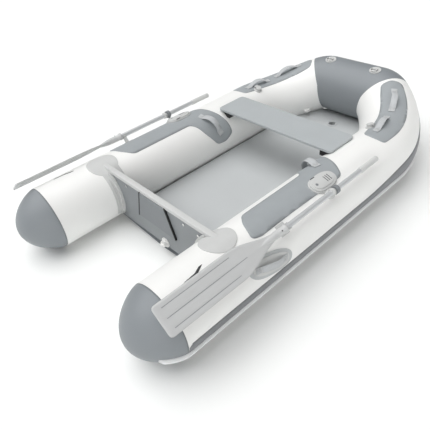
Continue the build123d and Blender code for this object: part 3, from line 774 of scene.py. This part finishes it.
# ---------------------------------------------------------------- oars
# Along an oar, distances are forward from the stern seam, as stations are.
BLADE_END = -0.084
BLADE_HALF = 0.078
NECK_HALF = 0.019
TAPER_START = 0.36
TAPER_LONG = 0.27
GROOVES = ((0.050, -0.045, 0.35), (0.0, -0.050, 0.43), (-0.050, -0.045, 0.35))
GRIP_R = 0.0175
GRIP_DIP_R = 0.0167
GRIP_DIPS = 12
GRIP_PITCH = 0.0105


def blade_half(x):
    return BLADE_HALF + (NECK_HALF - BLADE_HALF) * ease((x - TAPER_START) / TAPER_LONG)


def blade_skin(place, sign):
    """One face of the blade: thin edges, three shallow grooves and a spine towards the neck."""
    def skin(x, y):
        edge = clamp(min(blade_half(x) - abs(y), x - BLADE_END) / 0.012)
        thick = 0.0022 + 0.0026 * math.sin(edge * math.pi / 2)
        along = clamp((x + 0.045) / 0.02) * clamp((0.44 - x) / 0.02)
        for groove, _, _ in GROOVES:
            thick -= 0.0018 * along * math.exp(-(((y - groove) / 0.0060) ** 2))
        thick += 0.0035 * math.exp(-((y / 0.012) ** 2)) * clamp((x - 0.30) / 0.3)
        return place @ Vector((x - LOCK_STATION, y, sign * thick))
    return skin


def groove_shade_lines(side, place):
    """Painted shade: a thin grey line along each groove, on both faces."""
    for face, tag in ((1, "a"), (-1, "b")):
        skin = blade_skin(place, face)
        up = (place.to_3x3() @ Vector((0, 0, face))).normalized()
        for k, (y, first, last) in enumerate(GROOVES):
            steps = [first + (last - first) * i / 40 for i in range(41)]
            rows = [[skin(x, y - w) + up * 0.0009 for w in (-0.0013, 0.0013)] +
                    [skin(x, y - w) - up * 0.0004 for w in (0.0013, -0.0013)] for x in steps]
            grid_mesh(f"{side}_blade_groove_{tag}{k}", rows, GREY, closed=True, caps=True, smooth=False,
                      body=side + "_oar")


def grip_profile():
    profile = [(0.0150, 1.365), (0.0174, 1.366), (GRIP_R, 1.372), (GRIP_R, 1.38), (GRIP_R, 1.39)]
    for k in range(GRIP_DIPS):
        z = k * GRIP_PITCH
        profile += [(GRIP_R, 1.398 + z), (GRIP_DIP_R, 1.4005 + z), (GRIP_DIP_R, 1.4035 + z),
                    (GRIP_R, 1.406 + z)]
    return profile + [(GRIP_R, 1.527), (0.0165, 1.532), (0.013, 1.535), (0.001, 1.5350)]


for side in SIDES:
    place = surface_place(side, LOCK_STATION, OAR_DEG, OAR_REACH)
    edge = [(BLADE_END, BLADE_HALF)]
    edge += [(x, blade_half(x)) for x in (0.2, 0.36, 0.40, 0.44, 0.48, 0.52, 0.56, 0.60)]
    edge += [(0.635, NECK_HALF)]
    outline = edge + [(x, -y) for x, y in reversed(edge)]
    outline = rounded(outline, [0.022] + [0.01] * (len(outline) - 2) + [0.022], 4)
    plate_mesh(side + "_blade", outline, blade_skin(place, 1), blade_skin(place, -1), BLADE, step=0.008,
               body=side + "_oar", covers=(side + "_oar_blade",))
    # grey lines in the blade's grooves are painted shade
    groove_shade_lines(side, place)
    turn = place @ Matrix.Translation((-LOCK_STATION, 0, 0)) @ Matrix.Rotation(math.pi / 2, 4, "Y")
    socket = [(0.002, 0.50), (0.008, 0.53), (0.014, 0.565), (0.019, 0.60), (0.0205, 0.63), (0.0205, 0.692),
              (0.024, 0.695), (0.0245, 0.700), (0.0245, 0.706), (0.0235, 0.709), (0.010, 0.7092)]
    revolve_mesh(side + "_socket", socket, turn, BLADE, body=side + "_oar")
    collar = [(0.0151, 1.088), (0.0205, 1.0885), (0.022, 1.091), (0.022, 1.107), (0.0205, 1.1095),
              (0.0151, 1.110)]
    revolve_mesh(side + "_shaft_collar", collar, turn, MOULD, body=side + "_oar")
    revolve_mesh(side + "_grip", grip_profile(), turn, MOULD, body=side + "_oar",
                 covers=(side + "_oar_grip",))

# ---------------------------------------------------------------- oarlock bases
LOCK_PAD = (1.150, 72)
# each layer's name, half lengths, lift from the tube and thickness
LOCK_LAYERS = (("foot", 0.104, 0.058, 0.0018, 0.006), ("body", 0.096, 0.050, 0.006, 0.0105),
               ("crown", 0.082, 0.038, 0.014, 0.006))
SLOT_HALF = 0.0022
SLOT_THICK = 0.0008
for side in SIDES:
    for tag, long, tall, lift, thick in LOCK_LAYERS:
        pad = patch(f"{side}_oarlock_{tag}", side, ellipse_patch(LOCK_PAD, long, tall, 0), thick, MOULD,
                    lift=lift, round_by=0, step=0.011,
                    covers=(side + "_oarlock_base",) if tag == "foot" else ())
        bevelled(pad, 0.004, 3)
    # the slots are thin dark sheets on the base's top: painted shade for the hollows of the slots
    for k, st in enumerate((1.168, 1.184, 1.200)):
        patch(f"{side}_oarlock_slot_{k}", side, box_outline(st - SLOT_HALF, st + SLOT_HALF, 66, 77),
              SLOT_THICK, DARK, lift=0.0198, round_by=0.002, step=0.006)
    patch(side + "_oarlock_slot_long", side, box_outline(1.098, 1.132, 84.5, 86), SLOT_THICK, DARK,
          lift=0.0165, round_by=0.001, step=0.006)
    screw = surface_place(side, 1.092, 72, R + 0.0195)
    revolve_mesh(side + "_oarlock_screw",
                 [(0.0085, -0.002), (0.0085, 0.001), (0.006, 0.0022), (0.001, 0.0024)], screw, PAD)
    boss = surface_place(side, LOCK_STATION, OAR_DEG, R)
    revolve_mesh(side + "_oarlock_boss", [(0.034, -0.002), (0.034, 0.006), (0.030, 0.011), (0.022, 0.014),
                                          (0.020, 0.022), (0.0075, 0.0235)], boss, MOULD)
    arm = patch(side + "_oarlock_arm", side, [(1.100, 52), (1.156, 52), (1.170, 64), (1.086, 64)], 0.010,
                MOULD, lift=0.0018, round_by=0.008, step=0.010)
    bevelled(arm, 0.003, 3)

# ---------------------------------------------------------------- transom's capping, painted shadow at the motor pad's edges
CAPPING_X = SEAM_X + 0.4365
CAPPING_HALF = 0.524
PAD_SHADOW_X = SEAM_X + 0.4115
# a channel over the board's top edge, as x from the board's middle and z
section = [(-0.019, 0.381), (-0.019, 0.4025), (-0.017, 0.4055), (-0.013, 0.4072), (0.013, 0.4072),
           (0.017, 0.4055), (0.019, 0.4025), (0.019, 0.381), (0.0135, 0.381), (0.0135, 0.4008),
           (-0.0135, 0.4008), (-0.0135, 0.381)]
rows = [[(CAPPING_X + x, y, z) for x, z in section] for y in np.linspace(-CAPPING_HALF, CAPPING_HALF, 60)]
cap = grid_mesh("transom_capping", rows, MOULD, closed=True, caps=True, covers=("transom_edge_trim",),
                smooth=False)
bevelled(cap, 0.0015, 2)
# painted shadow: a black strip down both sides of the outer motor pad stands in for the shadow gap at its
# edges
for side, k in zip(SIDES, (1, -1)):
    top, foot = Vector((PAD_SHADOW_X, 0.119 * k, 0.386)), Vector((PAD_SHADOW_X, 0.180 * k, 0.186))
    across = Vector((0, 0.004, 0.001))
    corners = [p + across * n + Vector((d, 0, 0)) for p in (top, foot) for n, d in
               ((-1, -0.0012), (1, -0.0012), (1, 0.012), (-1, 0.012))]
    edge = add_mesh("pad_shadow_gap_" + side, corners,
                    [(0, 1, 2, 3), (4, 5, 6, 7), (0, 1, 5, 4), (1, 2, 6, 5), (2, 3, 7, 6), (3, 0, 4, 7)],
                    BLACK, smooth=False)
    bevelled(edge, 0.001, 2)

# ---------------------------------------------------------------- pinstripes
for side in SIDES:
    stripe = [(0.130, 71.6), (0.215, 73.0), (0.262, 79.5), (0.238, 79.5), (0.200, 75.2), (0.130, 73.4)]
    patch(side + "_pinstripe", side, stripe, 0.0012, DARK, round_by=0.002, step=0.012, drop=0.0005)

# ---------------------------------------------------------------- stage, light, camera
GROUND_SIZE = 400
BACKDROP_R = 60
BACKDROP_TALL = 160
BACKDROP_GLOW = 0.95
WORLD_LIGHT = 0.22
PAPER = srgb(252, 253, 252)
YAW, PITCH, ROLL = 0.8913, 0.6830, -0.1156
LENS = 36.97
CAMERA_AT = (SEAM_X - 0.5905, -1.8060, 1.8816)

bpy.ops.mesh.primitive_plane_add(size=GROUND_SIZE, location=(0, 0, 0))
ground = bpy.context.object
ground.name = "studio_floor"
ground.data.materials.append(new_material("studio_floor", PAPER, 0.9, specular=0.1)[0])
bpy.ops.mesh.primitive_cylinder_add(vertices=96, radius=BACKDROP_R, depth=BACKDROP_TALL,
                                    end_fill_type="NOTHING", location=(0, 0, 75))
backdrop = bpy.context.object
backdrop.name = "studio_backdrop"
for ray in ("visible_shadow", "visible_diffuse", "visible_glossy"):
    setattr(backdrop, ray, False)
glowing, _, _, shader = new_material("studio_backdrop", PAPER, 1.0, specular=0.0)
shader.inputs["Emission Color"].default_value = (1, 1, 1, 1)
shader.inputs["Emission Strength"].default_value = BACKDROP_GLOW
backdrop.data.materials.append(glowing)


def soft_sun(name, towards_light, strength, softness):
    data = bpy.data.lights.new(name, "SUN")
    data.energy = strength
    data.angle = math.radians(softness)
    lamp = bpy.data.objects.new(name, data)
    bpy.context.scene.collection.objects.link(lamp)
    lamp.location = Vector(towards_light) * 4
    lamp.rotation_euler = Vector(towards_light).to_track_quat("Z", "Y").to_euler()


soft_sun("key", towards_light=(-0.28, 0.42, 1.30), strength=2.72, softness=75)
soft_sun("fill", towards_light=(-0.75, -1.0, 0.12), strength=1.30, softness=50)
world = bpy.data.worlds.new("studio")
bpy.context.scene.world = world
world.use_nodes = True
background = world.node_tree.nodes["Background"]
background.inputs["Color"].default_value = (1, 1, 1, 1)
background.inputs["Strength"].default_value = WORLD_LIGHT

forward = Vector((math.cos(YAW) * math.cos(PITCH), math.sin(YAW) * math.cos(PITCH), -math.sin(PITCH)))
right = Vector((math.sin(YAW), -math.cos(YAW), 0))
above = right.cross(forward)
level_right = right * math.cos(ROLL) + above * math.sin(ROLL)
level_up = -right * math.sin(ROLL) + above * math.cos(ROLL)
cam_data = bpy.data.cameras.new("camera")
cam_data.lens = LENS
cam_data.sensor_width = 36
cam_data.clip_end = 200
camera = bpy.data.objects.new("camera", cam_data)
bpy.context.scene.collection.objects.link(camera)
turn = Matrix((level_right, level_up, -forward)).transposed().to_4x4()
turn.translation = Vector(CAMERA_AT)
camera.matrix_world = turn
bpy.context.scene.camera = camera
bpy.context.scene.view_settings.view_transform = "Standard"
bpy.context.scene.view_settings.look = "None"
